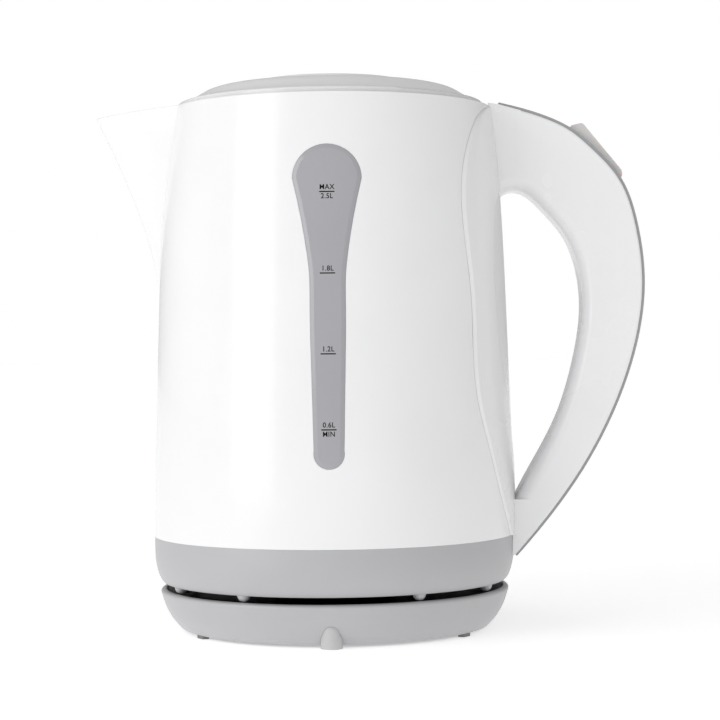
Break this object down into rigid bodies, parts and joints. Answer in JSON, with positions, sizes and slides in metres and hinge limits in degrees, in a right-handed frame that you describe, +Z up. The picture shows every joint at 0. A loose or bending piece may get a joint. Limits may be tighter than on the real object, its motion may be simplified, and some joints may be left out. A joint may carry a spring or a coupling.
{
  "type": "electric kettle",
  "caption": "Cordless jug kettle with a broad spout, tall level window and open C-shaped handle with a rocker switch, on a round power base.",
  "frame": {"origin": "the jug's vertical axis, on the plane that the base's feet stand on", "axes": "+Z up; +X towards the handle; the spout points along -X; the level window faces -Y"},
  "size_m": [0.2481, 0.1632, 0.2478],
  "materials": {
    "white_plastic": "gloss",
    "grey_plastic": "satin",
    "dark_plastic": "satin",
    "clear_grey_plastic": "translucent gloss",
    "rocker_plastic": "translucent satin",
    "foot_rubber": "matte",
    "silicone": "matte",
    "steel": "brushed",
    "aluminium": "cast",
    "brass": "bright",
    "control_plastic": "matte",
    "lead_cover": "satin",
    "mesh": "woven"
  },
  "bodies": {
    "power_base": {"base_shell": "grey_plastic", "base_deck": "dark_plastic", "base_bottom_cover": "dark_plastic", "base_screws": "steel", "base_feet": "foot_rubber", "front_foot": "foot_rubber", "connector_post": "dark_plastic", "earth_pin": "brass", "live_contact_ring": "brass", "neutral_contact_ring": "brass", "terminal_block": "control_plastic", "base_leads": "lead_cover", "cord_gland": "grey_plastic"},
    "turning_ring": {"shutter_ring": "dark_plastic"},
    "jug": {"body_shell": "white_plastic", "level_window": "clear_grey_plastic", "bottom_skirt": "grey_plastic", "underside_cover": "dark_plastic", "underside_screws": "steel", "heater_plate": "steel", "plate_gasket": "silicone", "heat_spreader": "aluminium", "heater_element": "steel", "control_module": "control_plastic", "socket_contacts": "brass", "thermostat_discs": "steel", "filter_frame": "white_plastic", "filter_mesh": "mesh", "handle_shell": "white_plastic", "handle_trim": "grey_plastic", "switch_housing": "dark_plastic", "rocker_pin": "steel", "steam_bimetal": "steel", "steam_tube": "silicone", "wire_harness": "lead_cover", "lid_hinge_pin": "steel"},
    "lid": {"lid_shell": "white_plastic", "lid_disc": "white_plastic", "lid_liner": "white_plastic", "lid_seal": "silicone"},
    "rocker": {"switch_rocker": "rocker_plastic"}
  },
  "joints": [
    {"name": "base_swivel", "type": "hinge", "parent": "power_base", "child": "turning_ring", "pos_m": [0, 0, 0.0188], "axis": [0, 0, 1], "continuous": true},
    {"name": "jug_lift", "type": "slide", "parent": "turning_ring", "child": "jug", "axis": [0, 0, 1], "range_m": [0, 0.06]},
    {"name": "lid_hinge", "type": "hinge", "parent": "jug", "child": "lid", "pos_m": [0.0718, 0, 0.235], "axis": [0, 1, 0], "range_deg": [0, 75]},
    {"name": "rocker_switch", "type": "hinge", "parent": "jug", "child": "rocker", "pos_m": [0.1175, 0, 0.2115], "axis": [0, -1, 0], "range_deg": [0, 9]}
  ]
}
